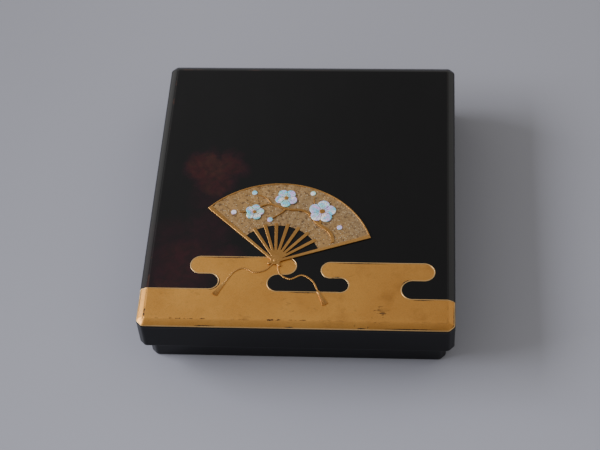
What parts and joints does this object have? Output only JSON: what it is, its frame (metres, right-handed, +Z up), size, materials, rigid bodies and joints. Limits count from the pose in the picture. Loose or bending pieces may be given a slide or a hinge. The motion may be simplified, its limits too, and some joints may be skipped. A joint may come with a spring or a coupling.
{
  "type": "writing box",
  "caption": "Low lacquered writing box with a bevelled overlapping lid, lift-out trays, an inkstone, a water dropper, brushes and small writing tools.",
  "frame": {"origin": "middle of the footprint on the surface that the box stands on", "axes": "+Z up, +Y to the back of the box along its longer side, +X to its right"},
  "size_m": [0.218, 0.2426, 0.0475],
  "materials": {
    "black_lacquer": "polished black lacquer",
    "inner_lacquer": "satin black lacquer",
    "tray_lacquer": "satin black lacquer with gold rim",
    "gold_lacquer": "sprinkled gold lacquer",
    "raised_gold": "raised gold lacquer",
    "pewter": "speckled pewter sheet",
    "pearl_shell": "opaque mother-of-pearl",
    "slate": "honed opaque slate",
    "copper": "patinated copper alloy",
    "silver": "soft silver",
    "bamboo": "natural bamboo",
    "horn": "dark horn",
    "hair": "brush hair",
    "ink": "dry ink",
    "tool_lacquer": "brown lacquer",
    "steel": "ground steel"
  },
  "bodies": {
    "box": {"box_front_wall": "black_lacquer", "box_back_wall": "black_lacquer", "box_left_wall": "black_lacquer", "box_right_wall": "black_lacquer", "box_floor": "black_lacquer", "tray_supports": "inner_lacquer"},
    "lid": {"lid_front_wall": "black_lacquer", "lid_back_wall": "black_lacquer", "lid_left_wall": "black_lacquer", "lid_right_wall": "black_lacquer", "lid_panel": "black_lacquer", "gold_cloud": "gold_lacquer", "fan_leaf": "pewter", "fan_sticks": "raised_gold", "fan_rim": "raised_gold", "fan_rivet": "raised_gold", "fan_cord": "raised_gold", "fan_tassels": "raised_gold", "plum_branch": "raised_gold", "plum_petals": "pearl_shell", "plum_centres": "raised_gold", "plum_buds": "pearl_shell"},
    "left_tray": {"left_tray_front_wall": "tray_lacquer", "left_tray_back_wall": "tray_lacquer", "left_tray_left_wall": "tray_lacquer", "left_tray_right_wall": "tray_lacquer", "left_tray_floor": "tray_lacquer", "left_tray_rests": "tray_lacquer"},
    "right_tray": {"right_tray_front_wall": "tray_lacquer", "right_tray_back_wall": "tray_lacquer", "right_tray_left_wall": "tray_lacquer", "right_tray_right_wall": "tray_lacquer", "right_tray_floor": "tray_lacquer", "right_tray_rests": "tray_lacquer"},
    "centre_board": {"board_base": "inner_lacquer", "board_top": "inner_lacquer", "board_runners": "inner_lacquer"},
    "inkstone": {"inkstone": "slate"},
    "water_dropper": {"dropper_bowl": "copper", "dropper_top": "copper", "dropper_spout": "silver"},
    "broad_brush": {"broad_brush_handle": "bamboo", "broad_brush_collar": "horn", "broad_brush_hair": "hair"},
    "broad_cap": {"broad_brush_cap": "bamboo"},
    "fine_brush": {"fine_brush_handle": "bamboo", "fine_brush_collar": "horn", "fine_brush_hair": "hair"},
    "fine_cap": {"fine_brush_cap": "bamboo"},
    "ink_holder": {"ink_clip": "tool_lacquer"},
    "ink": {"ink_stick": "ink"},
    "ring": {"clip_ring": "silver"},
    "paper_knife": {"knife_handle": "tool_lacquer", "knife_blade": "steel"},
    "awl": {"awl_handle": "tool_lacquer", "awl_point": "steel"}
  },
  "joints": [
    {"name": "lid_lift", "type": "slide", "parent": "box", "child": "lid", "axis": [0, 0, 1], "range_m": [0, 0.12]},
    {"name": "left_tray_lift", "type": "slide", "parent": "box", "child": "left_tray", "axis": [0, 0, 1], "range_m": [0, 0.036]},
    {"name": "right_tray_lift", "type": "slide", "parent": "box", "child": "right_tray", "axis": [0, 0, 1], "range_m": [0, 0.036]},
    {"name": "board_lift", "type": "slide", "parent": "box", "child": "centre_board", "axis": [0, 0, 1], "range_m": [0, 0.042]},
    {"name": "inkstone_lift", "type": "slide", "parent": "centre_board", "child": "inkstone", "axis": [0, 0, 1], "range_m": [0, 0.024]},
    {"name": "dropper_lift", "type": "slide", "parent": "centre_board", "child": "water_dropper", "axis": [0, 0, 1], "range_m": [0, 0.03]},
    {"name": "broad_brush_lift", "type": "slide", "parent": "left_tray", "child": "broad_brush", "axis": [0, 0, 1], "range_m": [0, 0.024]},
    {"name": "fine_brush_lift", "type": "slide", "parent": "left_tray", "child": "fine_brush", "axis": [0, 0, 1], "range_m": [0, 0.024]},
    {"name": "ink_holder_lift", "type": "slide", "parent": "right_tray", "child": "ink_holder", "axis": [0, 0, 1], "range_m": [0, 0.024]},
    {"name": "paper_knife_lift", "type": "slide", "parent": "right_tray", "child": "paper_knife", "axis": [0, 0, 1], "range_m": [0, 0.024]},
    {"name": "awl_lift", "type": "slide", "parent": "right_tray", "child": "awl", "axis": [0, 0, 1], "range_m": [0, 0.024]},
    {"name": "broad_cap_slide", "type": "slide", "parent": "broad_brush", "child": "broad_cap", "axis": [0, 1, 0], "range_m": [0, 0.038]},
    {"name": "fine_cap_slide", "type": "slide", "parent": "fine_brush", "child": "fine_cap", "axis": [0, 1, 0], "range_m": [0, 0.038]},
    {"name": "ink_slide", "type": "slide", "parent": "ink_holder", "child": "ink", "axis": [0, 1, 0], "range_m": [0, 0.022]},
    {"name": "ring_slide", "type": "slide", "parent": "ink_holder", "child": "ring", "axis": [0, -1, 0], "range_m": [0, 0.018]}
  ],
  "couplings": [
    {"joint": "left_tray_lift", "follows": "lid_lift", "ratio": 0.3},
    {"joint": "right_tray_lift", "follows": "lid_lift", "ratio": 0.3},
    {"joint": "board_lift", "follows": "lid_lift", "ratio": 0.35},
    {"joint": "inkstone_lift", "follows": "lid_lift", "ratio": 0.2},
    {"joint": "dropper_lift", "follows": "lid_lift", "ratio": 0.25},
    {"joint": "broad_brush_lift", "follows": "lid_lift", "ratio": 0.2},
    {"joint": "fine_brush_lift", "follows": "lid_lift", "ratio": 0.2},
    {"joint": "ink_holder_lift", "follows": "lid_lift", "ratio": 0.2},
    {"joint": "paper_knife_lift", "follows": "lid_lift", "ratio": 0.2},
    {"joint": "awl_lift", "follows": "lid_lift", "ratio": 0.2}
  ]
}
